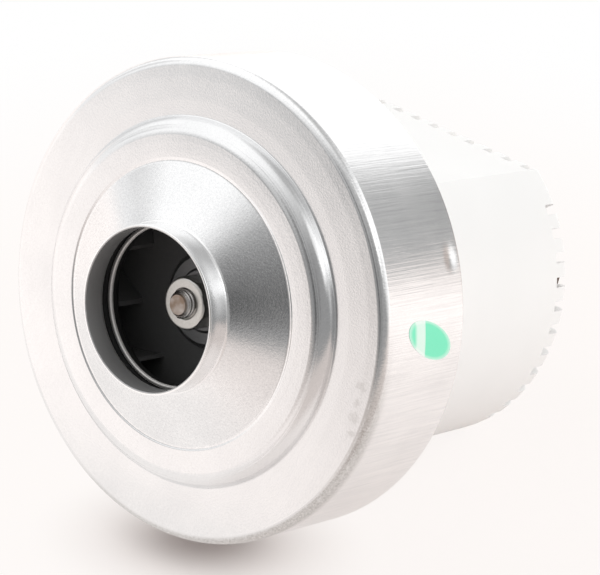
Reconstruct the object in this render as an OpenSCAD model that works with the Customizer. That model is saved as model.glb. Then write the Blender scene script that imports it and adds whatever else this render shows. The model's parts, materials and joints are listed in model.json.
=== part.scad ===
// Vacuum cleaner motor unit: a two pole universal motor that drives a one stage fan.
// Every piece is drawn on the shaft, along Z with the inlet at the top and the rear edge of the fan cover at 0.
// laid() then turns the shaft to lie along Y, with the inlet facing -Y and the housing's flats facing up and down.

/* [Fan cover] */
// Outside diameter of the pressed steel fan cover
cover_d = 135; // [134:0.5:137]
// Depth of the cover from its rear edge to its flat front
cover_depth = 35; // [34.8:0.1:36]
// Thickness of the sheet steel
sheet = 0.9; // [0.7:0.1:1]
// Inside diameter of the inlet collar
inlet_d = 44.8; // [44.4:0.2:45.4]
// Height of the inlet's mouth above the flat front
mouth_rise = 17.4; // [16:0.2:19]
// Number of crimps that hold the cover on the housing
crimps = 6; // [4:1:8]

/* [Housing] */
// Diameter over the round sides of the housing
barrel_d = 104; // [103:0.5:106]
// Distance across the two flats of the housing
across_flats = 84; // [82:0.2:85]
// Length of the housing behind the cover
barrel_len = 75; // [75:0.5:78]
// Width of one vent slot
slot_w = 3; // [2.5:0.1:3.8]
// Distance between vent slots along a flat
slot_pitch = 7; // [6.5:0.1:7.2]
// Angle between vent slots round a side
slot_step = 8; // [7:0.5:8]

/* [Fan] */
// Outside diameter of the impeller
impeller_d = 108; // [100:1:110]
// Number of impeller blades
blades = 9; // [6:1:11]
// Number of vanes round the impeller
outer_vanes = 14; // [9:1:16]
// Number of vanes that lead the air back to the motor
return_vanes = 11; // [7:1:13]

/* [Motor] */
// Length of the stator and armature stacks
stack = 36; // [30:1:37]
// Diameter of the armature
armature_d = 42.6; // [40:0.2:43]
// Number of armature slots and of commutator bars
bars = 22; // [16:1:24]
// Diameter of the commutator
commutator_d = 25; // [24:0.5:26]
// Length of a new carbon brush, from the commutator to the spring
brush_len = 20.5; // [14:0.5:22]
// Turns of one brush spring
spring_turns = 7; // [4:1:9]

/* [Hidden] */
$fn = 64;
fit_gap = 0.02;                        // between pieces of one body that seat on each other
run_gap = 0.05;                        // between pieces that run or slide on each other
arc_steps = 8;                         // straight steps in one rounded corner

// Fan cover, from its rear edge to the mouth of the inlet
cover_r = cover_d / 2;
bore_r = inlet_d / 2;
collar_r = bore_r + sheet;
ring_z = cover_depth + 4.2;            // the flat ring above the step
crease_r = 39.6;                       // where the cone starts, in a shallow groove
collar_z = cover_depth + 10.8;         // where the cone meets the collar
mouth_z = cover_depth + mouth_rise;
cover_path = [
    [cover_r, 0, 0],
    [cover_r, cover_depth, 3.1],
    [cover_r - 16, cover_depth, 1],
    [cover_r - 18.9, ring_z, 5],
    [crease_r + 0.7, ring_z + 0.2, 1],
    [crease_r, ring_z - 0.05, 0.5],
    [collar_r, collar_z, 1],
    [collar_r, mouth_z, 0]
];
cone_corner = 5;                       // the corner in cover_path where the cone starts
crimp_z = 4;                           // height of the crimps above the rear edge
crimp_ball = 4;                        // radius of the punch
crimp_depth = 0.55;
crimp_turn = 30;                       // angle of the first crimp

// Inlet seal, glued behind the cone round the eye of the impeller
seal_h = 3.4;
seal_gap = 0.65;                       // round the lip of the eye

// Stack of pieces on the shaft, from the front bearing to the tip
flange_h = 6;
bracket_t = 2.5;
bracket_r = [50.5, 60];                // ring of the bracket
bracket_arm = 14;                      // width of the arms that cross at the bearing
bracket_hole = 8;
bracket_screw_r = 55.5;
corners = [45:90:315];
front_bearing = [8, 22, 7];            // bore, outside diameter, width
rear_bearing = [7, 19, 6];
shaft_r = 5;                           // between the bearings
seat_r = front_bearing[0] / 2;         // under the front bearing and the impeller
front_bearing_z = flange_h + 3;
spacer_z = front_bearing_z + front_bearing[2];
backing_z = 24;                        // rear washer of the impeller
disc_z = 26;
disc_t = 1.2;
washer_z = disc_z + disc_t;
nut_z = washer_z + 2.4;
nut_h = 7.4;
nut_af = 14;
nut_r = 7.3;                           // its corners are turned down to this radius
nut_top = nut_z + nut_h;
nut_sink = [2.4, 1.05];                // depth of the countersink at its face, and how much wider it gets
tip_z = 39.7;
thread_r = 3.6;
washer_r = 13.5;

// Impeller: the shroud runs from its rim up to the lip of the eye
impeller_r = impeller_d / 2;
eye_r = 22.2;
shroud_t = 0.9;
lip_z = 42.1;
lip_bead = 0.7;                        // radius of the rolled edge of the lip
shroud_path = [
    [impeller_r, 31.8, 0],
    [eye_r + shroud_t, 38.6, 3],
    [eye_r + shroud_t, lip_z, 0]
];
blade_t = 1;
blade_arc = [40, 30];                  // radius of a blade's arc, and how far its centre is from the shaft

// Diffuser
plate_z = 21;
plate_t = 2;
diffuser_r = 63.4;
column_pcd = 76;                       // circle of the four columns that stand on the bracket
outer_arc = [50, 18];
return_arc = [36, 28];
return_vane_z = 11.2;
vane_top = cover_depth - sheet - 0.1;

// Housing
barrel_r = barrel_d / 2;
side_wall = 2.5;
end_wall = 3;
rear_z = -barrel_len;
edge_r = 3;                            // rounding of the rear edge
flat_y = across_flats / 2;
flange_r = cover_r - sheet - 0.15;
slot_len = 6.5;                        // along the side
slot_depth = 6;                        // across the end wall
boss_r = 13.5;
boss_step = rear_z - 4;                // where the boss steps down to the nose that a rubber foot grips
boss_end = rear_z - 9;
nose_r = 12.6;
nose_edge = 0.6;
cup_floor = boss_end + 5.4;            // inside of the cup that holds the rear bearing
ribs = [60, 90, 120, 240, 270, 300];
rib_h = 2;
rib_w = 2;

// Stator and armature
stack_z = -10;                         // front face of both stacks
stack_end = stack_z - stack;
stator_r = 46.8;
stator_flat = 36.8;
yoke_r = 39;
yoke_flat = 30;
air_gap = 0.6;
pole_bore = armature_d / 2 + air_gap;
pole_half = 14;
shoe_t = 3.6;
shoe_angle = 60;
coil_r = [26.6, 34.4];
coil_angle = [36, 58];
coil_over = 8;                         // how far the coils stand out of the stack
head_r = [6.2, 19.4];                  // end turns of the armature winding
head_h = 6.6;
stator_screw_y = 33.4;
screw_rib = 4;                         // joins the boss of a stator screw to the flat
rails = [30, 150, 210, 330];           // ribs inside the housing that centre the stator
rail_w = 6;
rail_z = [-64, -8];

// Commutator and brushes
commutator_r = commutator_d / 2;
commutator_z = [-68.5, -55];
hub_r = 8.4;                           // moulded hub under the bars
bar_gap = 0.5;
brush_z = -62;
brush_h = 6.3;
brush_w = 11;
tube_wall = 0.6;
tube_x = [15.5, 43.5];
holder_x = [16.5, 42.5];
holder_h = 10.8;
holder_w = 16;
plate_x = [14.4, 45];
plate_w = 32;
brush_plate_t = 2;
holder_screw = [30, 12.3];
spring_r = 2.5;
spring_wire = 0.3;

// Terminals
tab_x = 8.5;
tab_y = 29;
tab_w = 6.3;
tab_t = 0.8;
tab_end = rear_z - 12;

// Turns the shaft from Z to lie along Y
module laid() rotate([90, 0, 0]) children();

// Puts a piece at one angle round the shaft
module around(angle) rotate([0, 0, angle]) children();

// Puts a piece on the left or on the right of the shaft
module sided(side) mirror([side < 0 ? 1 : 0, 0, 0]) children();

// A ring or disc from z0 up to z1
module ring(outer, inner, z0, z1) translate([0, 0, z0]) linear_extrude(z1 - z0) difference() {
    circle(outer);
    circle(inner);
}

// A rounded path through corners of the form [x, y, radius], and the same corners moved to its left
function xy(c) = [c[0], c[1]];
function unit(v) = v / norm(v);
function left(v) = [-v[1], v[0]];
function turn(a, b) = a[0] * b[1] - a[1] * b[0];
function turned(v, a) = [v[0] * cos(a) - v[1] * sin(a), v[0] * sin(a) + v[1] * cos(a)];
function way_in(c, i) = unit(xy(c[i]) - xy(c[i - 1]));
function way_out(c, i) = unit(xy(c[i + 1]) - xy(c[i]));
function is_end(c, i) = i == 0 || i == len(c) - 1;
function bend(c, i) = let (
    d = way_in(c, i),
    angle = acos(d * way_out(c, i)),
    s = sign(turn(d, way_out(c, i))),
    r = c[i][2],
    centre = xy(c[i]) - d * r * tan(angle / 2) + left(d) * s * r
) [for (k = [0:arc_steps]) centre - turned(left(d) * s * r, s * angle * k / arc_steps)];
function rounded(c) = [for (i = [0:len(c) - 1]) each is_end(c, i) || c[i][2] == 0 ? [xy(c[i])] : bend(c, i)];
function moved(c, t) = [for (i = [0:len(c) - 1]) let (
    a = left(i == 0 ? way_out(c, 0) : way_in(c, i)),
    b = left(i == len(c) - 1 ? way_in(c, i) : way_out(c, i)),
    p = xy(c[i]) + t * (a + b) / (1 + a * b)
) [p[0], p[1], c[i][2] == 0 ? 0 : c[i][2] - t * sign(turn(a, b))]];
function backwards(p) = [for (i = [len(p) - 1:-1:0]) p[i]];

// A pressed sheet of thickness t whose outside follows the path
module pressed(path, t) rotate_extrude() polygon(concat(rounded(path), backwards(rounded(moved(path, t)))));

// The triangles that join rings of points into a tube, or into a closed loop
function skin(rings, sides, closed) = [
    for (i = [0:rings - (closed ? 1 : 2)], k = [0:sides - 1]) let (
        next = (i + 1) % rings,
        a = i * sides + k,
        b = i * sides + (k + 1) % sides,
        c = next * sides + (k + 1) % sides,
        d = next * sides + k
    ) each [[a, b, c], [a, c, d]]
];

// Flat curved vanes between two radii: each follows an arc whose centre is off the shaft
module vanes_2d(count, r0, r1, arc, t) for (i = [0:count - 1]) around(360 * i / count) intersection() {
    difference() {
        circle(r1);
        circle(r0);
    }
    translate([0, -arc[1]]) difference() {
        circle(arc[0]);
        circle(arc[0] - t);
    }
    translate([0, -r1]) square([r1, 2 * r1]);
}

// A pan head screw that points down, with its head seated at z
module screw(r, head_r, head_h, length, z) translate([0, 0, z]) {
    rotate_extrude() polygon([
        [0, -length], [r - 0.4, -length], [r, -length + 0.6], [r, 0], [head_r, 0],
        [head_r, head_h - 0.8], [head_r - 0.9, head_h], [0, head_h]
    ]);
}

// The fan end

module crimp_ball_at(i, r) around(crimp_turn + 360 * i / crimps)
    translate([cover_r + crimp_ball - crimp_depth, 0, crimp_z]) sphere(r);

module fan_cover() color("gainsboro") laid() difference() {
    union() {
        pressed(cover_path, sheet);
        for (i = [0:crimps - 1]) intersection() {
            crimp_ball_at(i, crimp_ball + sheet);
            ring(cover_r - sheet / 2, cover_r - 3, 0, 2 * crimp_z);
        }
    }
    for (i = [0:crimps - 1]) crimp_ball_at(i, crimp_ball);
}

module inlet_seal() color("dimgray") laid() let (
    inside = moved(cover_path, sheet + fit_gap),
    cone = way_out(inside, cone_corner),
    top = xy(inside[cone_corner + 1]) - cone * 3.2,
    low = top - cone * 6
) rotate_extrude() polygon([
    [eye_r + shroud_t + seal_gap, top[1] - seal_h], [eye_r + shroud_t + seal_gap, top[1] - 0.6],
    top, low, [low[0], low[1] - 1.6], [top[0] + 1.4, top[1] - seal_h]
]);

module diffuser() color("dimgray") laid() difference() {
    union() {
        ring(diffuser_r, 9.5, plate_z, plate_z + plate_t);
        ring(12.5, 9.5, plate_z - 3, plate_z);
        translate([0, 0, plate_z + plate_t]) linear_extrude(vane_top - plate_z - plate_t)
            vanes_2d(outer_vanes, impeller_r + 2.2, diffuser_r - 0.6, outer_arc, 1.5);
        translate([0, 0, return_vane_z]) linear_extrude(plate_z - return_vane_z)
            vanes_2d(return_vanes, 23, diffuser_r - 2, return_arc, 1.6);
        columns() cylinder(h = plate_z - flange_h - bracket_t, r = 4.6);
    }
    columns() cylinder(h = plate_z, r = 2.1);
    columns() translate([0, 0, plate_z - flange_h - bracket_t - 0.6]) cylinder(h = 6, r = 4);
}

module columns() for (a = corners) around(a)
    translate([column_pcd / 2, 0, flange_h + bracket_t]) children();

module diffuser_screws() color("silver") laid() columns()
    screw(2, 3.7, 2.2, 14.2, plate_z - flange_h - bracket_t - 0.6 + fit_gap);

// The impeller, its blades between a flat disc and a dished shroud

module impeller_disc() color("silver") laid() ring(impeller_r, seat_r + fit_gap, disc_z, washer_z);

module impeller_shroud() color("silver") laid() {
    pressed(shroud_path, shroud_t);
    rotate_extrude() translate([eye_r + shroud_t / 2 + 0.1, lip_z]) circle(lip_bead, $fn = 24);
}

module impeller_blades() color("silver") laid() intersection() {
    translate([0, 0, washer_z + fit_gap]) linear_extrude(20)
        vanes_2d(blades, eye_r + 2, impeller_r - 0.4, blade_arc, blade_t);
    let (under = rounded(moved(shroud_path, shroud_t + fit_gap)))
        rotate_extrude() polygon(concat(under, [[eye_r, 20], [impeller_r, 20]]));
}

module impeller_washer() color("gray") laid() rotate_extrude() polygon([
    [seat_r + fit_gap, washer_z + fit_gap], [washer_r, washer_z + fit_gap], [washer_r, washer_z + 1],
    [washer_r - 1.2, washer_z + 1.6], [9.2, washer_z + 1.6], [8.4, nut_z - fit_gap],
    [seat_r + fit_gap, nut_z - fit_gap]
]);

module impeller_nut() color("gainsboro") laid() difference() {
    intersection() {
        translate([0, 0, nut_z]) cylinder(h = nut_h, r = nut_af / sqrt(3), $fn = 6);
        rotate_extrude() polygon([
            [0, nut_z], [nut_r - 0.4, nut_z], [nut_r, nut_z + 0.5],
            [nut_r, nut_top - 0.5], [nut_r - 0.4, nut_top], [0, nut_top]
        ]);
    }
    let (hole = thread_r + fit_gap, mouth = hole + nut_sink[1]) rotate_extrude() polygon([
        [0, nut_z - 1], [hole, nut_z - 1], [hole, nut_top - nut_sink[0]], [mouth, nut_top],
        [mouth, nut_top + 1], [0, nut_top + 1]
    ]);
}

module backing_washer() color("silver") laid() ring(washer_r, seat_r + fit_gap, backing_z, disc_z - fit_gap);

module bearing_spacer() color("silver") laid()
    ring(6.5, seat_r + fit_gap, spacer_z + fit_gap, backing_z - fit_gap);

// The housing and the bracket that closes its front

module barrel_2d(r, half) intersection() {
    circle(r);
    square([3 * r, 2 * half], center = true);
}

module vent_slots() {
    for (side = [0, 180], k = [-5:5]) around(side + k * slot_step)
        translate([barrel_r - slot_depth, -slot_w / 2, rear_z - 1]) cube([slot_depth + 2, slot_w, slot_len + 1]);
    for (side = [0, 180], k = [-4:4]) around(side)
        translate([k * slot_pitch - slot_w / 2, flat_y - slot_depth, rear_z - 1])
            cube([slot_w, slot_depth + 2, slot_len + 1]);
}

module barrel_outside() intersection() {
    rotate_extrude() polygon(concat([[0, 0]], [[0, rear_z]],
        rounded([[barrel_r - 10, rear_z, 0], [barrel_r - 0.4, rear_z, edge_r], [barrel_r, 0, 0]])));
    rotate([90, 0, 90]) linear_extrude(3 * barrel_r, center = true) polygon(rounded([
        [-flat_y, 0, 0], [-flat_y, rear_z, edge_r], [flat_y, rear_z, edge_r], [flat_y, 0, 0]
    ]));
}

module motor_housing() color("white") laid() difference() {
    union() {
        difference() {
            union() {
                barrel_outside();
                cylinder(h = flange_h, r = flange_r);
            }
            translate([0, 0, rear_z + end_wall]) linear_extrude(barrel_len + flange_h)
                barrel_2d(barrel_r - side_wall, flat_y - side_wall);
        }
        for (a = rails) around(a) {
            translate([stator_r + 0.1, -rail_w / 2, rail_z[0]])
                cube([barrel_r - side_wall - stator_r + 0.4, rail_w, rail_z[1] - rail_z[0]]);
            translate([stator_r - 3, -rail_w / 2, rail_z[0]]) cube([5, rail_w, stack_end - rail_z[0] - 0.1]);
        }
        for (side = [-1, 1]) {
            translate([0, side * stator_screw_y, rear_z + 1]) cylinder(h = stack_end - rear_z - 1.1, r = 4.2);
            translate([-screw_rib / 2, side > 0 ? stator_screw_y : side * (flat_y - 1), rear_z + 1])
                cube([screw_rib, flat_y - 1 - stator_screw_y, stack_end - rear_z - 1.1]);
        }
        for (side = [-1, 1], k = [-1, 1])
            translate([side * holder_screw[0], k * holder_screw[1], rear_z + 1]) cylinder(h = 9, r = 3.4);
        rotate_extrude() polygon([
            [0, boss_end], [nose_r - nose_edge, boss_end], [nose_r, boss_end + nose_edge], [nose_r, boss_step],
            [boss_r, boss_step], [boss_r, rear_z + 5.5], [0, rear_z + 5.5]
        ]);
        for (a = ribs) around(a) translate([boss_r - 1, -rib_w / 2, rear_z - rib_h])
            cube([(a % 180 == 90 ? flat_y : barrel_r - 4) - slot_depth - boss_r - 1, rib_w, rib_h + 1]);
    }
    vent_slots();
    ring(flange_r + 1, flange_r - 1, crimp_z - 1.8, crimp_z + 1.8);
    for (side = [-1, 1]) {
        translate([side * (plate_x[0] + plate_x[1]) / 2, 0, rear_z])
            cube([plate_x[1] - plate_x[0] - 0.8, holder_w + 0.6, 12], center = true);
        translate([0, side * stator_screw_y, stack_end - 17]) cylinder(h = 18, r = 2.05);
        translate([side * tab_x, tab_y, rear_z]) cube([tab_w + 0.2, tab_t + 0.2, 20], center = true);
        for (k = [-1, 1])
            translate([side * holder_screw[0], k * holder_screw[1], rear_z - 1]) cylinder(h = 9, r = 1.55);
    }
    for (a = corners) around(a) translate([bracket_screw_r, 0, 0.6]) cylinder(h = flange_h, r = 2.05);
    translate([0, 0, cup_floor]) cylinder(h = 20, r = rear_bearing[1] / 2 + 1.8);
    translate([0, 0, boss_end - 1]) cylinder(h = 3.5, r = 7);
}

module front_bracket() color("silver") laid() difference() {
    union() {
        translate([0, 0, flange_h]) linear_extrude(bracket_t) difference() {
            union() {
                difference() {
                    circle(bracket_r[1]);
                    circle(bracket_r[0]);
                }
                for (a = [45, 135]) rotate(a) square([2 * bracket_r[0] + 4, bracket_arm], center = true);
            }
            circle(bracket_hole);
        }
        ring(front_bearing[1] / 2 + 1.6, bracket_hole, flange_h, front_bearing_z);
        ring(front_bearing[1] / 2 + 1.6, front_bearing[1] / 2 + fit_gap, front_bearing_z, spacer_z);
    }
    for (a = corners) around(a) {
        translate([bracket_screw_r, 0, 0]) cylinder(h = 20, r = 2.1);
        translate([column_pcd / 2, 0, 0]) cylinder(h = 20, r = 2.05);
    }
    translate([0, 0, front_bearing_z]) cylinder(h = 20, r = front_bearing[1] / 2 + fit_gap);
}

module bracket_screws() color("silver") laid() for (a = corners) around(a) translate([bracket_screw_r, 0, 0])
    screw(2, 3.6, 2.4, 7.6, flange_h + bracket_t + fit_gap);

// Ball bearings of the form [bore, outside diameter, width], with shields

function race_in(b) = b[0] / 2 + 1.9;
function race_out(b) = b[1] / 2 - 1.7;

module bearing_outer(b, z) difference() {
    ring(b[1] / 2, race_in(b) + 0.4, z, z + b[2]);
    ring(race_out(b), 0.1, z + 0.8, z + b[2] - 0.8);
}

module bearing_inner(b, z) ring(race_in(b), b[0] / 2 + fit_gap, z, z + b[2]);

module bearing_balls(b, z) for (i = [0:6]) around(360 * i / 7)
    translate([(race_in(b) + race_out(b)) / 2, 0, z + b[2] / 2])
        sphere((race_out(b) - race_in(b)) / 2 - 2 * run_gap);

rear_bearing_z = boss_end + 7;

module front_bearing_outer() color("silver") laid() bearing_outer(front_bearing, front_bearing_z);
module front_bearing_inner() color("silver") laid() bearing_inner(front_bearing, front_bearing_z);
module front_bearing_balls() color("silver") laid() bearing_balls(front_bearing, front_bearing_z);
module rear_bearing_outer() color("silver") laid() bearing_outer(rear_bearing, rear_bearing_z);
module rear_bearing_inner() color("silver") laid() bearing_inner(rear_bearing, rear_bearing_z);
module rear_bearing_balls() color("silver") laid() bearing_balls(rear_bearing, rear_bearing_z);

module rear_bearing_ring() color("dimgray") laid()
    ring(rear_bearing[1] / 2 + 1.78, rear_bearing[1] / 2 + fit_gap, rear_bearing_z, rear_bearing_z + rear_bearing[2]);

// A flat spring ring that waves up and down between the bearing and the floor of its cup
washer_t = 0.4;
wave_h = (rear_bearing_z - cup_floor - washer_t) / 2 - fit_gap;
washer_steps = 60;
function wave(i) = let (a = 360 * i / washer_steps, z = (cup_floor + rear_bearing_z) / 2 + wave_h * sin(3 * a))
    [for (c = [[6.4, -1], [9, -1], [9, 1], [6.4, 1]]) [c[0] * cos(a), c[0] * sin(a), z + c[1] * washer_t / 2]];

module wave_washer() color("silver") laid()
    polyhedron([for (i = [0:washer_steps - 1]) each wave(i)], skin(washer_steps, 4, true));

// The stator

module stator_core() color("slategray") laid() translate([0, 0, stack_end]) linear_extrude(stack) difference() {
    union() {
        difference() {
            barrel_2d(stator_r, stator_flat);
            barrel_2d(yoke_r, yoke_flat);
        }
        difference() {
            union() {
                square([2 * yoke_r + 2, 2 * pole_half], center = true);
                for (side = [0, 180]) rotate(side) intersection() {
                    circle(pole_bore + shoe_t);
                    polygon([
                        [1, 0], 60 * [cos(shoe_angle), sin(shoe_angle)], [60, 60],
                        [60, -60], 60 * [cos(shoe_angle), -sin(shoe_angle)]
                    ]);
                }
            }
            circle(pole_bore);
        }
    }
    for (side = [-1, 1]) translate([0, side * stator_screw_y]) circle(2.1);
}

module stator_screws() color("silver") laid() for (side = [-1, 1]) translate([0, side * stator_screw_y, 0])
    screw(2, 3.4, 2.6, stack + 15, stack_z + fit_gap);

// A saddle shaped bundle of wire round one pole
module field_coil(side) color("peru") laid() sided(side) difference() {
    around(-coil_angle[1]) rotate_extrude(angle = 2 * coil_angle[1]) translate([coil_r[0], stack_end - coil_over])
        polygon(rounded([
            [coil_r[1] - coil_r[0], 4, 0], [coil_r[1] - coil_r[0], stack + 2 * coil_over, 3],
            [0, stack + 2 * coil_over, 3], [0, 0, 3], [coil_r[1] - coil_r[0], 0, 3], [coil_r[1] - coil_r[0], 4, 0]
        ]));
    around(-coil_angle[0]) rotate_extrude(angle = 2 * coil_angle[0])
        translate([coil_r[0] - 1, stack_end - 0.2]) square([coil_r[1] - coil_r[0] + 2, stack + 0.4]);
}

module field_coil_left() field_coil(-1);
module field_coil_right() field_coil(1);

// The armature

module shaft() color("silver") laid() rotate_extrude() polygon([
    [0, rear_bearing_z - 0.6], [rear_bearing[0] / 2 - 0.4, rear_bearing_z - 0.6],
    [rear_bearing[0] / 2, rear_bearing_z - 0.2], [rear_bearing[0] / 2, rear_bearing_z + rear_bearing[2] + fit_gap],
    [shaft_r, rear_bearing_z + rear_bearing[2] + fit_gap], [shaft_r, front_bearing_z - fit_gap],
    [seat_r, front_bearing_z - fit_gap], [seat_r, nut_z - 0.2], [thread_r, nut_z - 0.2],
    [thread_r, tip_z - 0.9], [thread_r - 0.8, tip_z], [0, tip_z]
]);

slot_ring = armature_d / 2 - 4.3;      // radius of the circle that the armature's slots lie on

module armature_slots_2d(r, mouth) for (i = [0:bars - 1]) rotate(360 * (i + 0.5) / bars) {
    translate([slot_ring, 0]) circle(r);
    if (mouth > 0) translate([slot_ring, -mouth / 2]) square([6, mouth]);
}

module armature_core() color("slategray") laid() translate([0, 0, stack_end]) linear_extrude(stack) difference() {
    circle(armature_d / 2);
    circle(shaft_r + fit_gap);
    armature_slots_2d(1.7, 1.5);
}

module winding_head(z, way) translate([0, 0, z]) mirror([0, 0, way < 0 ? 1 : 0])
    rotate_extrude() polygon(rounded([
        [head_r[0], 0, 0], [head_r[1], 0, 0.8], [head_r[1], head_h, 3.5],
        [head_r[0] + 2.4, head_h, 2], [head_r[0], head_h / 2, 0]
    ]));

module armature_winding() color("peru") laid() {
    translate([0, 0, stack_end - 1]) linear_extrude(stack + 2) armature_slots_2d(1.45, 0);
    winding_head(stack_z + fit_gap, 1);
    winding_head(stack_end - fit_gap, -1);
}

module commutator_hub() color("saddlebrown") laid()
    ring(hub_r - fit_gap, shaft_r + fit_gap, commutator_z[0] - 0.4, commutator_z[1] + 0.4);

module commutator_bars() color("peru") laid() difference() {
    rotate_extrude() polygon([
        [hub_r, commutator_z[0]], [commutator_r, commutator_z[0]], [commutator_r, commutator_z[1] - 2.4],
        [commutator_r + 1.6, commutator_z[1] - 2.4], [commutator_r + 1.6, commutator_z[1]], [hub_r, commutator_z[1]]
    ]);
    for (i = [0:bars - 1]) around(360 * (i + 0.5) / bars)
        translate([hub_r - 1, -bar_gap / 2, commutator_z[0] - 1])
            cube([10, bar_gap, commutator_z[1] - commutator_z[0] + 2]);
}

// The brush gear

// A block along X from x[0] to x[1], centred on the brush
module brush_block(x, w, h) translate([x[0], -w / 2, brush_z - h / 2]) cube([x[1] - x[0], w, h]);

tube_w = brush_w + 2 * run_gap + 2 * tube_wall;
tube_h = brush_h + 2 * run_gap + 2 * tube_wall;
brush_end = commutator_r + brush_len;

module brush_tube(side) color("goldenrod") laid() sided(side) difference() {
    brush_block(tube_x, tube_w, tube_h);
    brush_block([tube_x[0] - 1, tube_x[1] + 1], tube_w - 2 * tube_wall, tube_h - 2 * tube_wall);
}

module brush_cap(side) color("goldenrod") laid() sided(side) {
    brush_block([tube_x[1] + fit_gap, tube_x[1] + 0.8], tube_w, tube_h);
    translate([tube_x[1] + fit_gap, -2.4, brush_z - 9]) cube([0.78, 4.8, 8]);
}

module carbon_brush(side) color("dimgray") laid() sided(side) difference() {
    brush_block([commutator_r - 3, brush_end], brush_w, brush_h);
    translate([0, 0, brush_z - 5]) cylinder(h = 10, r = commutator_r + run_gap);
}

module brush_holder(side) color("saddlebrown") laid() sided(side) difference() {
    union() {
        translate([holder_x[0], -holder_w / 2, rear_z - brush_plate_t / 2])
            cube([holder_x[1] - holder_x[0], holder_w, brush_z + holder_h / 2 - rear_z + brush_plate_t / 2]);
        translate([0, 0, rear_z - brush_plate_t]) linear_extrude(brush_plate_t - fit_gap)
            polygon(rounded([
                [plate_x[1], 0, 0], [plate_x[1], plate_w / 2, 3], [plate_x[0], plate_w / 2, 3],
                [plate_x[0], -plate_w / 2, 3], [plate_x[1], -plate_w / 2, 3], [plate_x[1], 0, 0]
            ]));
        translate([holder_x[0] + 2, -holder_w / 2 + 2, rear_z - brush_plate_t - 1.5])
            cube([holder_x[1] - holder_x[0] - 4, holder_w - 4, 3]);
    }
    brush_block([0, 60], tube_w + 2 * fit_gap, tube_h + 2 * fit_gap);
    for (k = [-1, 1]) translate([holder_screw[0], k * holder_screw[1], rear_z - 10]) cylinder(h = 20, r = 1.6);
    translate([holder_x[1] - 6, -3, rear_z + 1.5]) cube([10, 6, 8]);
}

module brush_holder_screws() color("silver") laid() for (side = [-1, 1], k = [-1, 1])
    translate([side * holder_screw[0], k * holder_screw[1], 0]) mirror([0, 0, 1])
        screw(1.5, 2.9, 1.9, 9, -rear_z + brush_plate_t + fit_gap);

// A round wire wound into a helix along X, as one closed tube
spring_x = [brush_end + spring_wire + 0.1, tube_x[1] - spring_wire - 0.1];
wire_sides = 6;
turn_steps = 12;
function helix(u) = let (a = 360 * u) [
    spring_x[0] + (spring_x[1] - spring_x[0]) * u / spring_turns, spring_r * cos(a), spring_r * sin(a)
];
function wire_ring(u) = let (a = 360 * u, out = [0, cos(a), sin(a)], along = [1, 0, 0])
    [for (k = [0:wire_sides - 1]) helix(u) + spring_wire * (cos(60 * k) * out + sin(60 * k) * along)];
spring_gap = (spring_x[1] - spring_x[0]) / spring_turns - 2 * spring_wire;
echo("least gap between spring turns, mm", spring_gap);

module brush_spring(side) color("silver") laid() sided(side) translate([0, 0, brush_z]) let (
    last = spring_turns * turn_steps,
    points = [for (i = [0:last]) each wire_ring(i / turn_steps)],
    first_cap = [for (k = [1:wire_sides - 2]) [0, k + 1, k]],
    last_cap = [for (k = [1:wire_sides - 2]) [for (n = [0, k, k + 1]) last * wire_sides + n]]
) polyhedron(points, concat(skin(last + 1, wire_sides, false), first_cap, last_cap));

module brush_holder_left() brush_holder(-1);
module brush_holder_right() brush_holder(1);
module brush_tube_left() brush_tube(-1);
module brush_tube_right() brush_tube(1);
module brush_cap_left() brush_cap(-1);
module brush_cap_right() brush_cap(1);
module brush_spring_left() brush_spring(-1);
module brush_spring_right() brush_spring(1);
module carbon_brush_left() carbon_brush(-1);
module carbon_brush_right() carbon_brush(1);

// A flat push-on terminal with its shoulders inside the end wall
module terminal(side) color("goldenrod") laid() translate([side * tab_x, tab_y + tab_t / 2, 0]) rotate([90, 0, 0])
    linear_extrude(tab_t) difference() {
        polygon([
            [-tab_w / 2, tab_end + 1.2], [-tab_w / 2 + 1.2, tab_end], [tab_w / 2 - 1.2, tab_end],
            [tab_w / 2, tab_end + 1.2], [tab_w / 2, rear_z + end_wall + fit_gap], [4.6, rear_z + end_wall + fit_gap],
            [4.6, rear_z + end_wall + 4], [-4.6, rear_z + end_wall + 4], [-4.6, rear_z + end_wall + fit_gap],
            [-tab_w / 2, rear_z + end_wall + fit_gap]
        ]);
        translate([0, tab_end + 4]) circle(0.9);
    }

module terminal_left() terminal(-1);
module terminal_right() terminal(1);

fan_cover();
inlet_seal();
motor_housing();
front_bracket();
bracket_screws();
diffuser();
diffuser_screws();
front_bearing_outer();
front_bearing_balls();
front_bearing_inner();
rear_bearing_outer();
rear_bearing_balls();
rear_bearing_inner();
rear_bearing_ring();
wave_washer();
stator_core();
stator_screws();
field_coil_left();
field_coil_right();
brush_holder_left();
brush_holder_right();
brush_holder_screws();
brush_tube_left();
brush_tube_right();
brush_cap_left();
brush_cap_right();
brush_spring_left();
brush_spring_right();
carbon_brush_left();
carbon_brush_right();
terminal_left();
terminal_right();
shaft();
armature_core();
armature_winding();
commutator_hub();
commutator_bars();
bearing_spacer();
backing_washer();
impeller_disc();
impeller_blades();
impeller_shroud();
impeller_washer();
impeller_nut();
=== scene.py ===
import json
import math

import bmesh
import bpy
from mathutils import Matrix, Vector


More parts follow.
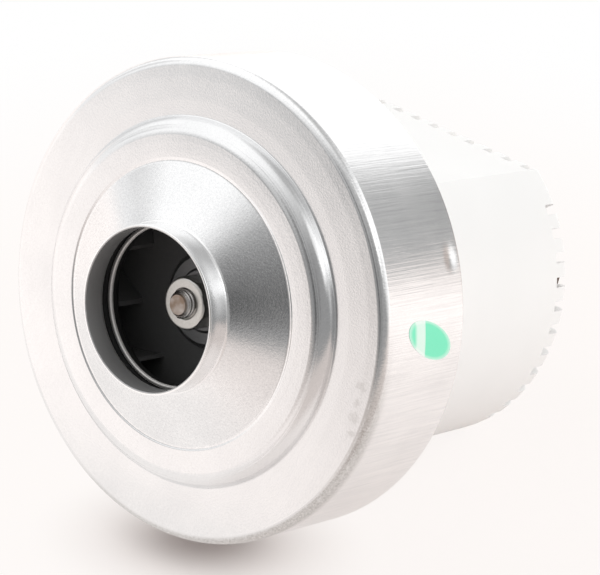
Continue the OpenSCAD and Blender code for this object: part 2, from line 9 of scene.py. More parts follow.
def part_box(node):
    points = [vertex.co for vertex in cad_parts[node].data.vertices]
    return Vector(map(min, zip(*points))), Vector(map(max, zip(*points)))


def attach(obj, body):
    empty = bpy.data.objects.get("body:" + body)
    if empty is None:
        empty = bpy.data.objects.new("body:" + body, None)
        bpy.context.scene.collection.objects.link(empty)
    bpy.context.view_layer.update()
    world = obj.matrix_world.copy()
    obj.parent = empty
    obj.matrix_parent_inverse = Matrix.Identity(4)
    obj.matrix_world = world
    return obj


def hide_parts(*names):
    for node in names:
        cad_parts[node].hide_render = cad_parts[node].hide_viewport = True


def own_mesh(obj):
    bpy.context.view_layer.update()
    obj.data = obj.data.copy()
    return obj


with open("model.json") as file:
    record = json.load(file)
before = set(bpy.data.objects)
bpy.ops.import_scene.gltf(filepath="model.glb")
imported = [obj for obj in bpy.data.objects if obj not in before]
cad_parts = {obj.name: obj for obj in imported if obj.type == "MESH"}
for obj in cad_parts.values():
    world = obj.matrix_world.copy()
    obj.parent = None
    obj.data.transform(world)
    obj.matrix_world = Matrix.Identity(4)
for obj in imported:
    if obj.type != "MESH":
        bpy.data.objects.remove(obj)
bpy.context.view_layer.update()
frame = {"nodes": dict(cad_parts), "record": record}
nodes = frame["nodes"]
mm = 0.001
print("frame loaded,", len(nodes), "nodes")


# Shader graphs: arithmetic on values is written as Python expressions

class Value:
    def __init__(self, graph, socket):
        self.graph = graph
        self.socket = socket

    def math(self, operation, *others):
        return self.graph.add("ShaderNodeMath", {"operation": operation}, [self, *others])

    def __add__(self, other):
        return self.math("ADD", other)

    def __radd__(self, other):
        return self.math("ADD", other)

    def __sub__(self, other):
        return self.math("SUBTRACT", other)

    def __rsub__(self, other):
        return self.graph.add("ShaderNodeMath", {"operation": "SUBTRACT"}, [other, self])

    def __mul__(self, other):
        return self.math("MULTIPLY", other)

    def __rmul__(self, other):
        return self.math("MULTIPLY", other)

    def __truediv__(self, other):
        return self.math("DIVIDE", other)

    def step(self, low, high):  # 0 below low, 1 above high, smooth between; low may be the larger
        return self.graph.add("ShaderNodeMapRange", {"interpolation_type": "SMOOTHSTEP"},
                              {"Value": self, "From Min": low, "From Max": high})


class Graph:
    def __init__(self, tree):
        self.tree = tree
        tree.nodes.clear()

    # Adds one node of any type: its settings first, then the values or links of its sockets
    def add(self, kind, settings=None, sockets=None, output=0):
        node = self.tree.nodes.new(kind)
        for name, setting in (settings or {}).items():
            setattr(node, name, setting)
        pairs = enumerate(sockets) if isinstance(sockets, list) else (sockets or {}).items()
        for name, given in pairs:
            socket = node.inputs[name]
            if isinstance(given, Value):
                self.tree.links.new(given.socket, socket)
            else:
                socket.default_value = given
        return Value(self, node.outputs[output]) if node.outputs else node

    def noise(self, vector, scale, detail=2.0, roughness=0.5):
        return self.add("ShaderNodeTexNoise", {}, {"Vector": vector, "Scale": scale, "Detail": detail,
                                                   "Roughness": roughness})

    def mix(self, factor, first, second):
        return self.add("ShaderNodeMix", {"data_type": "RGBA"},
                        {0: factor, 6: self.colour(first), 7: self.colour(second)}, 2)

    def colour(self, given):
        return given if isinstance(given, Value) or len(given) == 4 else (*given, 1.0)

    def place(self):  # where a point is on the object, in metres
        return self.add("ShaderNodeTexCoord", {}, {}, "Object")

    def axes(self, vector):
        split = self.add("ShaderNodeSeparateXYZ", {}, {0: vector}).socket.node
        return [Value(self, socket) for socket in split.outputs]

    def joined(self, x, y, z):
        return self.add("ShaderNodeCombineXYZ", {}, [x, y, z])

    def bump(self, height, distance, strength=1.0):
        return self.add("ShaderNodeBump", {}, {"Height": height, "Distance": distance, "Strength": strength})


materials = {}


# One material on the Principled shader; varying values may feed colour, roughness and normal
def finish(name, build):
    material = bpy.data.materials.new(name)
    material.use_nodes = True
    graph = Graph(material.node_tree)
    shader = graph.add("ShaderNodeBsdfPrincipled", {}, build(graph))
    graph.add("ShaderNodeOutputMaterial", {}, {"Surface": shader})
    materials[name] = material


def dress(obj, name):
    obj.data.materials.clear()
    obj.data.materials.append(materials[name])


# Camera, where the photograph was taken from

camera = {
    "location": (0.4329, -0.5841, 0.2496),
    "right": (0.73956, 0.63236, 0.23060),
    "up": (-0.38029, 0.10991, 0.91831),
    "lens": 162.3,
    "sensor": 36.0,
}


def makeCamera(s):
    data = bpy.data.cameras.new("camera")
    data.lens = s["lens"]
    data.sensor_width = s["sensor"]
    data.dof.use_dof = False
    obj = bpy.data.objects.new("camera", data)
    bpy.context.scene.collection.objects.link(obj)
    right = Vector(s["right"]).normalized()
    up = Vector(s["up"]).normalized()
    turn = Matrix((right, up, right.cross(up))).transposed()
    obj.matrix_world = Matrix.Translation(s["location"]) @ turn.to_4x4()
    bpy.context.scene.camera = obj


makeCamera(camera)
print("camera placed")


# Table: the unit leans back on the cover's rear edge and the housing's lower flat. Its paper glows for the
# camera and for mirroring metal. The glow is painted weaker round the cover's foot and towards the right, and
# the paper's colour is painted darker round the foot, as a painted soft shadow

table = {
    "heel": (0, 0.0735, -0.042),
    "radius": 0.30,
    "fade": (0.12, 0.28),
    "colour": (0.95, 0.88, 0.85),
    # painted shadow colour of the paper round the foot
    "shadow": (0.56, 0.50, 0.48),
    "glow": (1.0, 0.965, 0.945, 1.0),
    "foot": (0.009, -0.016),  # middle of the painted shadow, from the rim's lowest point to the right and back
    "along": (0.83, 0.55),  # the painted shadow's long way, to the right and back
    "stretch": 0.65,
    "lift": (0.05, 0.97),  # glow at the foot and far from it: the weak glow at the foot is painted shadow
    "lifted": (0.001, 0.034),  # distances from the foot over which the painted shadow fades: in the glow for the camera, glow for metal, and colour
    "mirrored": (0.002, 0.020),
    "shaded": (0.002, 0.022),
    "duller": (-0.05, 0.06),  # distances to the right over which both glows, or that for metal, grow weaker, as painted shade
    "dull": 0.08,
    "dimmer": (-0.01, 0.05),
    "dim": 0.7,
    "gap": 0.0002,
}

rim = Vector((0, 0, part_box("fan_cover")[0].z))
heel = Vector(table["heel"])
right = Vector((1, 0, 0))
back = (heel - rim).normalized()
up = right.cross(back)


def makeTable(s):
    bm = bmesh.new()
    bmesh.ops.create_circle(bm, cap_ends=True, radius=s["radius"], segments=96)
    mesh = bpy.data.meshes.new("table")
    bm.to_mesh(mesh)
    bm.free()
    obj = bpy.data.objects.new("table", mesh)
    bpy.context.scene.collection.objects.link(obj)
    turn = Matrix((right, back, up)).transposed()
    obj.matrix_world = Matrix.Translation((rim + heel) / 2 - up * s["gap"]) @ turn.to_4x4()
    material = bpy.data.materials.new("paleTable")
    material.use_nodes = True
    graph = Graph(material.node_tree)
    x, y, _ = graph.axes(graph.place())
    edge = (x * x + y * y).math("SQRT").step(*s["fade"])
    footRight, footBack = s["foot"]
    across = x - footRight
    behind = y + (heel - rim).length / 2 - footBack
    alongRight, alongBack = s["along"]
    along = (across * alongRight + behind * alongBack) * s["stretch"]
    beside = behind * alongRight - across * alongBack
    apart = (along * along + beside * beside).math("SQRT")
    near, far = s["lift"]
    growth = far - near - x.step(*s["duller"]) * s["dull"]
    # painted shadow: the glow is weaker round the foot and towards the right
    lift = near + apart.step(*s["lifted"]) * growth
    bright = near + apart.step(*s["mirrored"]) * growth
    dim = 1.0 - x.step(*s["dimmer"]) * s["dim"]
    seen = graph.add("ShaderNodeLightPath", {}, {}, "Is Camera Ray")
    mirrored = graph.add("ShaderNodeLightPath", {}, {}, "Is Glossy Ray")
    # painted shadow: the paper's colour darkens round the foot
    paintedShadowTint = graph.mix(apart.step(*s["shaded"]), s["shadow"], s["colour"])
    matt = graph.add("ShaderNodeBsdfDiffuse", {}, {"Color": paintedShadowTint})
    glow = graph.add("ShaderNodeEmission", {}, {"Color": s["glow"]})
    paper = graph.add("ShaderNodeMixShader", {}, [seen * lift + mirrored * dim * bright, matt, glow])
    clear = graph.add("ShaderNodeBsdfTransparent")
    shown = graph.add("ShaderNodeMixShader", {}, [edge, paper, clear])
    graph.add("ShaderNodeOutputMaterial", {}, {"Surface": shown})
    obj.data.materials.append(material)


makeTable(table)
print("table made")


# Studio: a room above the table's horizon, and soft patches that add or take light. A patch has a heading
# from the front and a height, and it is full over a cone and fades out over a soft edge, all in degrees

studio = {
    "room": (0.70, 0.70, 0.70),
    "floor": (1.07, 1.005, 0.975),
    "horizon": (0.055, -0.035),
    "patches": [
        {"heading": -74, "height": 44, "wide": 27, "soft": 26, "add": 0.45},  # soft box on the left
        {"heading": -155, "height": 13, "wide": 25, "soft": 8, "add": 0.46},  # pale wall behind
        {"heading": 81, "height": 52, "wide": 10, "soft": 6, "add": 0.60},  # strip light on the right
        {"heading": 83, "height": 38, "wide": 3, "soft": 9, "add": 0.68},
        {"heading": 99, "height": 40, "wide": 5, "soft": 8, "add": 0.45},
        {"heading": 131, "height": 26, "wide": 2, "soft": 44, "add": 0.54},  # soft box behind on the right
        {"heading": -14, "height": 13, "wide": 17, "soft": 8, "add": -0.39},  # dark room in front
        {"heading": 10, "height": 29, "wide": 20, "soft": 4, "add": -0.08},
        {"heading": 66, "height": 1, "wide": 42, "soft": 36, "add": -0.37},  # dim side of the room
        {"heading": -74, "height": 18, "wide": 9, "soft": 4, "add": -0.30},
        {"heading": -12, "height": 49, "wide": 12, "soft": 4, "add": -0.17},
        {"heading": 160, "height": 3, "wide": 4, "soft": 19, "add": -0.68},  # dark edge behind
        {"heading": 180, "height": 58, "wide": 29, "soft": 4, "add": -0.19},
        {"heading": -54, "height": -19, "wide": 18, "soft": 9, "add": 0.13},  # lit part of the table
        {"heading": -28, "height": 20, "wide": 8, "soft": 4, "add": 0.25},
    ],
    "lamps": [
        {"place": (-0.5, -0.5, 0.8), "size": 0.5, "watts": 0.5},
        {"place": (0.7, 0.3, 0.4), "size": 0.6, "watts": 2.5},
    ],
}


def makeWorld(s):
    world = bpy.data.worlds.new("studio")
    bpy.context.scene.world = world
    world.use_nodes = True
    graph = Graph(world.node_tree)
    way = graph.add("ShaderNodeTexCoord", {}, {}, "Generated")

    def facing(toward):
        return graph.add("ShaderNodeVectorMath", {"operation": "DOT_PRODUCT"}, {0: way, 1: toward}, "Value")

    def patch(p):
        heading = math.radians(p["heading"])
        height = math.radians(p["height"])
        level = right * math.sin(heading) - back * math.cos(heading)
        toward = level * math.cos(height) + up * math.sin(height)
        edge = math.cos(math.radians(p["wide"] + p["soft"]))
        return facing(toward).step(edge, math.cos(math.radians(p["wide"]))) * p["add"]

    extra = sum(patch(p) for p in s["patches"])
    base = graph.mix(facing(up).step(*s["horizon"]), s["room"], s["floor"])
    light = graph.add("ShaderNodeVectorMath", {"operation": "ADD"}, [base, graph.joined(extra, extra, extra)])
    seen = graph.add("ShaderNodeLightPath", {}, {}, "Is Camera Ray")
    shown = graph.add("ShaderNodeBackground", {}, {"Color": graph.mix(seen, light, (1.0, 1.0, 1.0))})
    graph.add("ShaderNodeOutputWorld", {}, {"Surface": shown})


def makeLamp(s):
    lamp = bpy.data.lights.new("lamp", "AREA")
    lamp.size = s["size"]
    lamp.energy = s["watts"]
    obj = bpy.data.objects.new("lamp", lamp)
    obj.location = s["place"]
    obj.rotation_mode = "QUATERNION"
    obj.rotation_quaternion = (-obj.location).to_track_quat("-Z", "Y")
    obj.visible_glossy = False  # metal mirrors the soft boxes of the room instead
    bpy.context.scene.collection.objects.link(obj)


bpy.context.scene.view_settings.view_transform = "Standard"
makeWorld(studio)
for lampSettings in studio["lamps"]:
    makeLamp(lampSettings)
print("studio made")


# Finishes, one for each material slot of the record

# Zinc coated sheet: fine grain and rolling streaks on the face, drawing streaks along the wall, a corner made
# darker low on the right and a few smudges on the face. Each zone fades in between two distances from the
# axis, and a smudge has its place to the right and up, and its size

zinc = {
    "inside": (0.0229, 0.0226),
    "collar": (0.0240, 0.0236),
    "cone": (0.0402, 0.0398),
    "ridge": [(0.0485, 0.0487), (0.0490, 0.0488)],
    "corner": (0.0648, 0.0662),
    "cornerAlong": (-0.0290, -0.0330),  # along the axis
    "darkerDown": (0.022, 0.052),  # down to the right
    "wall": (0.0655, 0.0670),
    "smudges": [
        (0.0622, 0.0020, 0.0020),
        (0.0621, -0.0026, 0.0016),
        (0.0624, -0.0069, 0.0024),
        (0.0627, -0.0113, 0.0018),
    ],
    "ragged": 0.004,
    "dark": (0.70, 0.705, 0.715),
    "light": (0.98, 0.98, 0.98),
    "darkerCorner": (0.46, 0.45, 0.43),
    "shaded": (0.30, 0.30, 0.30),
}


def galvanised(g, s=zinc):
    place = g.place()
    x, y, z = g.axes(place)
    reach = (x * x + z * z).math("SQRT")
    wall = reach.step(*s["wall"])
    inside = reach.step(*s["inside"])
    collar = reach.step(*s["collar"])
    cone = reach.step(*s["cone"])
    rise, fall = s["ridge"]
    ridge = reach.step(*rise) * reach.step(*fall)
    corner = reach.step(*s["corner"]) * y.step(*s["cornerAlong"])
    grain = g.noise(place, 2000.0, 3.0, 0.65)
    cloud = g.noise(place, 70.0, 3.0)
    drawn = g.noise(g.joined(x, y * 0.02, z), 1900.0, 3.0, 0.6)
    rolled = g.noise(g.joined(x * 0.96 - z * 0.27, 0.0, (x * 0.27 + z * 0.96) * 0.03), 1100.0, 2.0, 0.6)
    lines = (0.1 + rolled * 0.2) * (1.0 - wall) + drawn * wall
    speckle = (grain - 0.5) * (0.6 + cone * 0.9)
    streaks = (lines - 0.3) * (0.7 + wall * 0.4)
    # collar * 0.5 lifts the collar's tone towards the light colour, a painted highlight
    tone = 0.60 + cone * 0.05 + speckle + (cloud - 0.5) * 0.5 + streaks + collar * 0.5
    # the corner is made darker low on the right, with a speckle from the grain
    darkerCorner = corner * (0.6 * x - 0.8 * z).step(*s["darkerDown"]) * (0.58 + (grain - 0.5) * 2.0)
    ragged = (g.noise(place, 600.0, 3.0, 0.6) - 0.5) * s["ragged"]

    def smudge(sideways, high, size):
        aside = x - sideways
        above = z - high
        return ((aside * aside + above * above).math("SQRT") + ragged).step(size, size * 0.2)

    marks = sum(smudge(*spot) for spot in s["smudges"]) * (1.0 - wall) * 0.30
    smudgedAndDarker = g.mix(darkerCorner + marks, g.mix(tone, s["dark"], s["light"]), s["darkerCorner"])
    height = grain * (1.0 - wall * 0.7) + lines * (0.7 + wall * 2.0) + ridge * 2.0
    return {
        # the inside of the collar is painted darker, mixed towards the shaded grey, as painted shade
        "Base Color": g.mix(inside * 0.6, smudgedAndDarker, s["shaded"]),
        "Metallic": 1.0,
        "Roughness": 0.15 + (cloud - 0.5) * 0.08 + (grain - 0.5) * 0.06 + wall * 0.03 + inside * 0.45,
        "Normal": g.bump(height, 0.00004, 0.5),
    }


def whitePlastic(g):  # moulded housing with a faint texture
    place = g.place()
    grain = g.noise(place, 1800.0, 2.0)
    cloud = g.noise(place, 30.0, 2.0)
    return {
        "Base Color": g.mix(cloud, (0.86, 0.86, 0.85), (0.92, 0.92, 0.91)),
        "Roughness": 0.42 + (grain - 0.5) * 0.10,
        "Normal": g.bump(grain, 0.00004, 0.3),
    }


def blackRubber(g):
    grain = g.noise(g.place(), 1500.0, 3.0)
    return {
        "Base Color": g.mix(grain, (0.010, 0.010, 0.010), (0.022, 0.022, 0.023)),
        "Roughness": 0.75 + (grain - 0.5) * 0.2,
        "Normal": g.bump(grain, 0.0002, 0.5),
    }


def darkPlastic(g):
    grain = g.noise(g.place(), 1200.0, 2.0)
    return {
        "Base Color": g.mix(grain, (0.015, 0.015, 0.017), (0.030, 0.030, 0.033)),
        "Roughness": 0.45 + (grain - 0.5) * 0.15,
        "Normal": g.bump(grain, 0.00005, 0.3),
    }


def steel(dark, light, rough):  # bare and plated steel pieces
    def build(g):
        place = g.place()
        grain = g.noise(place, 1600.0, 3.0)
        cloud = g.noise(place, 150.0, 2.0)
        return {
            "Base Color": g.mix(grain * 0.5 + cloud * 0.5, dark, light),
            "Metallic": 1.0,
            "Roughness": rough + (cloud - 0.5) * 0.12,
            "Normal": g.bump(grain, 0.00002, 0.3),
        }
    return build


# Ground steel; the threaded end of the shaft is brown with oil
def oiledSteel(g):
    place = g.place()
    x, y, z = g.axes(place)
    grain = g.noise(place, 1600.0, 3.0)
    cloud = g.noise(place, 400.0, 3.0)
    reach = (x * x + z * z).math("SQRT")
    thread = reach.step(0.0030, 0.0034)
    oil = y.step(-0.0330, -0.0345) * (0.85 + (cloud - 0.5) * 1.2) * (1.0 - thread * 0.85)
    bright = g.mix(grain * 0.5 + cloud * 0.5, (0.62, 0.61, 0.60), (0.86, 0.85, 0.84))
    return {
        "Base Color": g.mix(oil, bright, (0.27, 0.205, 0.16)),
        "Metallic": 1.0,
        "Roughness": 0.26 + oil * 0.08,
        "Normal": g.bump(grain, 0.00002, 0.3),
    }


def laminated(g):  # stacked sheets, seen as fine lines square to the shaft
    place = g.place()
    _, y, _ = g.axes(place)
    line = (y * (2 * math.pi / 0.0005)).math("SINE") * 0.5 + 0.5
    cloud = g.noise(place, 200.0, 2.0)
    return {
        "Base Color": g.mix(line * 0.6 + cloud * 0.4, (0.10, 0.10, 0.11), (0.26, 0.27, 0.29)),
        "Metallic": 0.8,
        "Roughness": 0.45 + (cloud - 0.5) * 0.2,
        "Normal": g.bump(line, 0.00005, 0.4),
    }


def copperWire(g):  # lacquered wire lying in turns
    place = g.place()
    x, _, z = g.axes(place)
    wire = ((x * x + z * z).math("SQRT") * (2 * math.pi / 0.0008)).math("SINE") * 0.5 + 0.5
    cloud = g.noise(place, 250.0, 2.0)
    return {
        "Base Color": g.mix(wire * 0.6 + cloud * 0.4, (0.20, 0.07, 0.03), (0.60, 0.26, 0.11)),
        "Metallic": 0.7,
        "Roughness": 0.32 + (cloud - 0.5) * 0.2,
        "Normal": g.bump(wire, 0.0002, 0.6),
    }


def bareCopper(g):  # turned bars with a darker track under the brushes
    _, y, _ = g.axes(g.place())
    turned = g.noise(g.joined(0.0, y, 0.0), 4000.0, 2.0)
    track = y.step(0.0585, 0.0590) * y.step(0.0655, 0.0650)
    return {
        "Base Color": g.mix(track * 0.7, (0.80, 0.42, 0.25), (0.34, 0.17, 0.10)),
        "Metallic": 1.0,
        "Roughness": 0.24 + turned * 0.15,
        "Normal": g.bump(turned, 0.00003, 0.4),
    }


def brownMoulding(g):
    grain = g.noise(g.place(), 900.0, 3.0)
    return {
        "Base Color": g.mix(grain, (0.050, 0.022, 0.012), (0.085, 0.040, 0.022)),
        "Roughness": 0.40 + (grain - 0.5) * 0.2,
        "Normal": g.bump(grain, 0.00006, 0.3),
    }


def carbon(g):
    grain = g.noise(g.place(), 2500.0, 4.0)
    return {
        "Base Color": g.mix(grain, (0.012, 0.012, 0.013), (0.05, 0.05, 0.052)),
        "Roughness": 0.6 + (grain - 0.5) * 0.3,
        "Normal": g.bump(grain, 0.00006, 0.5),
    }


def fanSheet(g):  # black fan sheet whose lip is bare and bright at the eye
    place = g.place()
    _, y, _ = g.axes(place)
    lip = y.step(-0.0415, -0.0418) * y.step(-0.0429, -0.0426)
    grain = g.noise(place, 1500.0, 3.0)
    return {
        "Base Color": g.mix(lip, (0.018, 0.018, 0.018), (0.82, 0.80, 0.78)),
        "Metallic": 0.3,
        "Roughness": 0.55 - lip * 0.20,
        "Normal": g.bump(grain, 0.00003, 0.3),
    }


def blackFan(g):
    grain = g.noise(g.place(), 1200.0, 2.0)
    return {
        "Base Color": g.mix(grain, (0.085, 0.085, 0.085), (0.11, 0.11, 0.11)),
        "Roughness": 0.55 + (grain - 0.5) * 0.15,
        "Normal": g.bump(grain, 0.00004, 0.3),
    }


# Oval sticker on the cover's wall, in millimetres and degrees: the angle is up from the right, and the band
# fades in and out between distances along the oval's place on the wall
stickerShape = {
    "angle": 12.2, "ahead": 14.7, "long": 20.4, "wide": 9.3, "tilt": -23.6, "proud": 0.08, "radius": 67.5,
    "rings": 8, "band": [(-7.1, -5.3), (-1.9, -2.4)], "bandSlant": 0.09, "edge": (0.80, 0.97),
}


def greenFilm(g, s=stickerShape):  # glossy, with one pale band across it and a paler edge
    place = g.place()
    _, y, z = g.axes(place)
    angle = math.radians(s["angle"])
    tilt = math.radians(s["tilt"])
    along = y / mm + s["ahead"]
    above = z / mm - s["radius"] * math.sin(angle)
    slanted = along + above * s["bandSlant"]
    rise, fall = s["band"]
    band = slanted.step(*rise) * slanted.step(*fall)
    across = above / math.cos(angle)
    long = (along * math.cos(tilt) + across * math.sin(tilt)) / (s["long"] / 2)
    wide = (across * math.cos(tilt) - along * math.sin(tilt)) / (s["wide"] / 2)
    edge = (long * long + wide * wide).math("SQRT").step(*s["edge"])
    grain = g.noise(place, 900.0, 2.0)
    pale = band * 0.85 + edge * 0.45 + (grain - 0.5) * 0.06
    return {
        "Base Color": g.mix(pale, (0.18, 0.85, 0.54), (0.84, 0.97, 0.90)),
        "Roughness": 0.30 + (grain - 0.5) * 0.05,
        "Coat Weight": 0.3,
    }


slotFinishes = {
    "galvanised_steel": galvanised,
    "white_plastic": whitePlastic,
    "black_rubber": blackRubber,
    "dark_plastic": darkPlastic,
    "pressed_steel": steel((0.50, 0.50, 0.51), (0.74, 0.74, 0.75), 0.36),
    "zinc_screws": steel((0.46, 0.45, 0.425), (0.82, 0.81, 0.78), 0.30),
    "bearing_steel": oiledSteel,
    "spring_steel": steel((0.42, 0.42, 0.43), (0.66, 0.66, 0.67), 0.30),
    "lamination_steel": laminated,
    "enamelled_copper": copperWire,
    "bare_copper": bareCopper,
    "brown_moulding": brownMoulding,
    "brass": steel((0.60, 0.44, 0.16), (0.86, 0.68, 0.32), 0.30),
    "carbon": carbon,
    "fan_lip": fanSheet,
    "black_fan": blackFan,
    "dark_washer": steel((0.22, 0.22, 0.225), (0.38, 0.38, 0.385), 0.48),
}
for slotName, build in slotFinishes.items():
    finish(slotName, build)
finish("green_film", greenFilm)
for subpart in frame["record"]["subparts"]:
    dress(nodes[subpart["node"]], subpart["material_slot"])
print("finishes made,", len(materials))


# New pieces: each is modelled in millimetres, then brought to metres

def keep(bm, name, material, body, sharp=35):
    bmesh.ops.scale(bm, vec=(mm, mm, mm), verts=bm.verts)
    mesh = bpy.data.meshes.new(name)
    bm.to_mesh(mesh)
    bm.free()
    mesh.shade_smooth()
    mesh.set_sharp_from_angle(angle=math.radians(sharp))
    obj = bpy.data.objects.new(name, mesh)
    bpy.context.scene.collection.objects.link(obj)
    dress(obj, material)
    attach(obj, body)
    return obj


# Joins corners of the form (radius, distance ahead of the rear edge, rounding) into one rounded line, with
# a point close to each end of a round so that the straight parts between are shaded flat
def profile(bm, corners, steps, close=0.12, shortest=2):
    def support(corner, way, distance):
        return [bm.verts.new(corner.co + way.normalized() * distance)] if way.length > shortest else []

    places = [Vector((radius, -ahead, 0)) for radius, ahead, _ in corners]
    points = [bm.verts.new(places[0])]
    rounds = []
    for i in range(1, len(places) - 1):
        before = places[i - 1] - places[i]
        after = places[i + 1] - places[i]
        reach = corners[i][2] * math.tan(before.angle(-after) / 2)
        corner = bm.verts.new(places[i])
        if reach:
            lead = support(corner, before, reach + close)
            points += lead + [corner] + support(corner, after, reach + close)
            rounds.append((corner, reach))
        else:
            points.append(corner)
    points.append(bm.verts.new(places[-1]))
    for a, b in zip(points, points[1:]):
        bm.edges.new((a, b))
    for corner, reach in rounds:
        bmesh.ops.bevel(bm, geom=[corner], offset=reach, segments=steps, profile=0.5, affect="VERTICES",
                        material=-1)


def spun(bm, steps):
    bmesh.ops.spin(bm, geom=bm.verts[:] + bm.edges[:], cent=(0, 0, 0), axis=(0, 1, 0), angle=2 * math.pi,
                   steps=steps, use_merge=True)
    bmesh.ops.remove_doubles(bm, verts=bm.verts, dist=0.0005)
    bmesh.ops.recalc_face_normals(bm, faces=bm.faces)


coverShape = {
    "corners": [
        (67.5, 0.0, 0), (67.5, 9.0, 0), (67.5, 34.72, 2.4), (59.0, 34.95, 300), (51.4, 34.99, 0.35),
        (50.3, 39.20, 4.85), (43.5, 39.36, 150), (40.3, 39.37, 1.0), (39.6, 39.12, 1.4), (23.3, 45.8, 1.0),
        (23.3, 52.4, 0),
    ],
    "sheet": 0.9,
    "roundSteps": 7,
    "turnSteps": 320,
    "wallRows": 16,
    "edgeRound": 0.3,
    "crimps": {"count": 6, "first": 30, "ahead": 4.0, "round": 4.6, "along": 3.4, "deep": 0.32},
}


# Presses the crimps into the wall
def dent(bm, s, radius):
    for i in range(s["count"]):
        angle = math.radians(s["first"] + 360 * i / s["count"])
        out = Vector((math.cos(angle), 0, math.sin(angle)))
        side = Vector((-math.sin(angle), 0, math.cos(angle)))
        for v in bm.verts:
            if v.co.dot(out) < 0.95 * radius:
                continue
            u = (v.co.dot(side) / s["round"]) ** 2 + ((-v.co.y - s["ahead"]) / s["along"]) ** 2
            if u < 1:
                v.co -= out * s["deep"] * (1 - u) ** 3


def makeCover(s):
    bm = bmesh.new()
    profile(bm, s["corners"], s["roundSteps"])
    crimped = s["corners"][1][1]
    rear = [e for e in bm.edges if all(-v.co.y <= crimped for v in e.verts)]
    bmesh.ops.subdivide_edges(bm, edges=rear, cuts=s["wallRows"])
    spun(bm, s["turnSteps"])
    wall = next(f for f in bm.faces if abs(f.normal.y) < 0.1)
    middle = wall.calc_center_median()
    if wall.normal.dot(Vector((middle.x, 0, middle.z))) < 0:
        bmesh.ops.reverse_faces(bm, faces=bm.faces)
    dent(bm, s["crimps"], s["corners"][0][0])
    bmesh.ops.solidify(bm, geom=bm.faces[:], thickness=s["sheet"])
    ends = (-s["corners"][0][1], -s["corners"][-1][1])
    rims = [e for e in bm.edges if all(min(abs(v.co.y - end) for end in ends) < 0.01 for v in e.verts)
            and len(e.link_faces) == 2 and e.calc_face_angle() > 1]
    bmesh.ops.bevel(bm, geom=rims, offset=s["edgeRound"], segments=3, profile=0.5, affect="EDGES",
                    material=-1)
    cover = keep(bm, "pressed_cover", "galvanised_steel", "stator")
    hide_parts("fan_cover")


makeCover(coverShape)
print("cover spun")


def makeSticker(s):
    bm = bmesh.new()
    bmesh.ops.create_circle(bm, radius=1.0, segments=72)
    loop = bm.edges[:]
    for ring in range(s["rings"], 1, -1):  # loops that shrink towards the middle
        grown = bmesh.ops.extrude_edge_only(bm, edges=loop)["geom"]
        loop = [g for g in grown if isinstance(g, bmesh.types.BMEdge)]
        inner = [g for g in grown if isinstance(g, bmesh.types.BMVert)]
        shrink = (ring - 1) / ring
        bmesh.ops.scale(bm, vec=(shrink, shrink, 1), verts=inner)
    bmesh.ops.contextual_create(bm, geom=loop)
    bmesh.ops.scale(bm, vec=(s["long"] / 2, s["wide"] / 2, 1), verts=bm.verts)
    bmesh.ops.rotate(bm, matrix=Matrix.Rotation(math.radians(s["tilt"]), 3, "Z"), verts=bm.verts)
    bmesh.ops.recalc_face_normals(bm, faces=bm.faces)
    bmesh.ops.solidify(bm, geom=bm.faces[:], thickness=s["proud"])
    low = min(v.co.z for v in bm.verts)
    for v in bm.verts:  # wraps the flat oval round the wall
        along, across, out = v.co.x, v.co.y, v.co.z - low
        angle = math.radians(s["angle"]) + across / s["radius"]
        reach = s["radius"] + out
        v.co = (reach * math.cos(angle), -s["ahead"] + along, reach * math.sin(angle))
    bmesh.ops.recalc_face_normals(bm, faces=bm.faces)
    keep(bm, "oval_sticker", "green_film", "stator")


makeSticker(stickerShape)
print("sticker made")


threadShape = {
    "root": 3.45, "crest": 4.0, "pitch": 1.25, "from": 35.2, "to": 38.0, "width": 0.98, "slimness": 1.5,
    "steps": 48, "rounding": 10,
}


# One ridge, rounded over its crest, wound round the shaft's end
def makeThread(s):
    bm = bmesh.new()
    turns = (s["to"] - s["from"]) / s["pitch"]
    points = []
    for i in range(s["rounding"] + 1):
        share = i / s["rounding"]
        radius = s["root"] + (s["crest"] - s["root"]) * math.sin(math.pi * share) ** s["slimness"]
        points.append(bm.verts.new((radius, -s["from"] - share * s["pitch"] * s["width"], 0)))
    for a, b in zip(points, points[1:] + points[:1]):
        bm.edges.new((a, b))
    bm.faces.new(points)
    steps = round(s["steps"] * turns)
    ahead = s["pitch"] / s["steps"]
    bmesh.ops.spin(bm, geom=bm.faces[:], cent=(0, 0, 0), axis=(0, 1, 0), dvec=(0, -ahead, 0),
                   angle=2 * math.pi * turns, steps=steps)
    bmesh.ops.recalc_face_normals(bm, faces=bm.faces)
    thread = keep(bm, "shaft_thread", "bearing_steel", "rotor")


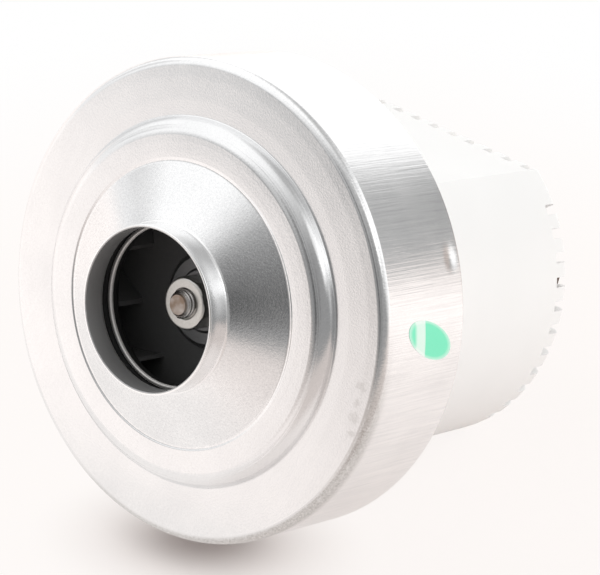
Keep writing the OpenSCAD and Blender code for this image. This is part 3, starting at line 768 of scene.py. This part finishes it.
makeThread(threadShape)
print("thread made")


nutShape = {
    "corners": [
        (3.64, 29.62, 0), (6.9, 29.62, 0), (7.45, 30.1, 0), (7.45, 37.0, 0.9), (4.5, 37.0, 0.3),
        (3.64, 35.9, 0), (3.64, 29.62, 0),
    ],
    "flats": 7.0,
    "sides": 6,
    "roundSteps": 6,
    "turnSteps": 144,
}


# Nut with well rounded shoulders; its sides are cut flat
def makeNut(s):
    bm = bmesh.new()
    profile(bm, s["corners"], s["roundSteps"])
    spun(bm, s["turnSteps"])
    for i in range(s["sides"]):
        angle = 2 * math.pi * (i + 0.5) / s["sides"]
        out = Vector((math.cos(angle), 0, math.sin(angle)))
        for v in bm.verts:
            v.co -= out * max(0, v.co.dot(out) - s["flats"])
    nut = keep(bm, "rounded_nut", "zinc_screws", "rotor")
    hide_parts("impeller_nut")


makeNut(nutShape)
print("nut made")


springShape = {"wire": 0.3, "coil": 2.5, "turns": 7, "steps": 24, "sides": 10, "travel": 4.0, "spare": 0.1}


# Brush spring, wound along X; it is squeezed against its cap when the brush slides back
def makeSpring(s, side):
    low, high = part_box("brush_spring_" + side)
    middle = (low + high) / 2 / mm
    first = low.x / mm + s["wire"]
    last = high.x / mm - s["wire"]
    steps = s["turns"] * s["steps"]
    bm = bmesh.new()
    bmesh.ops.create_circle(bm, cap_ends=True, radius=s["wire"], segments=s["sides"])
    bmesh.ops.translate(bm, vec=(first, s["coil"], 0), verts=bm.verts)
    bmesh.ops.spin(bm, geom=bm.faces[:], cent=(0, 0, 0), axis=(1, 0, 0), dvec=((last - first) / steps, 0, 0),
                   angle=2 * math.pi * s["turns"], steps=steps)
    bmesh.ops.translate(bm, vec=(0, middle.y, middle.z), verts=bm.verts)
    bmesh.ops.recalc_face_normals(bm, faces=bm.faces)
    coil = keep(bm, "brush_coil_" + side, "spring_steel", "stator")
    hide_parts("brush_spring_" + side)
    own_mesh(coil)


for brushSide in ("left", "right"):
    makeSpring(springShape, brushSide)
print("springs wound")
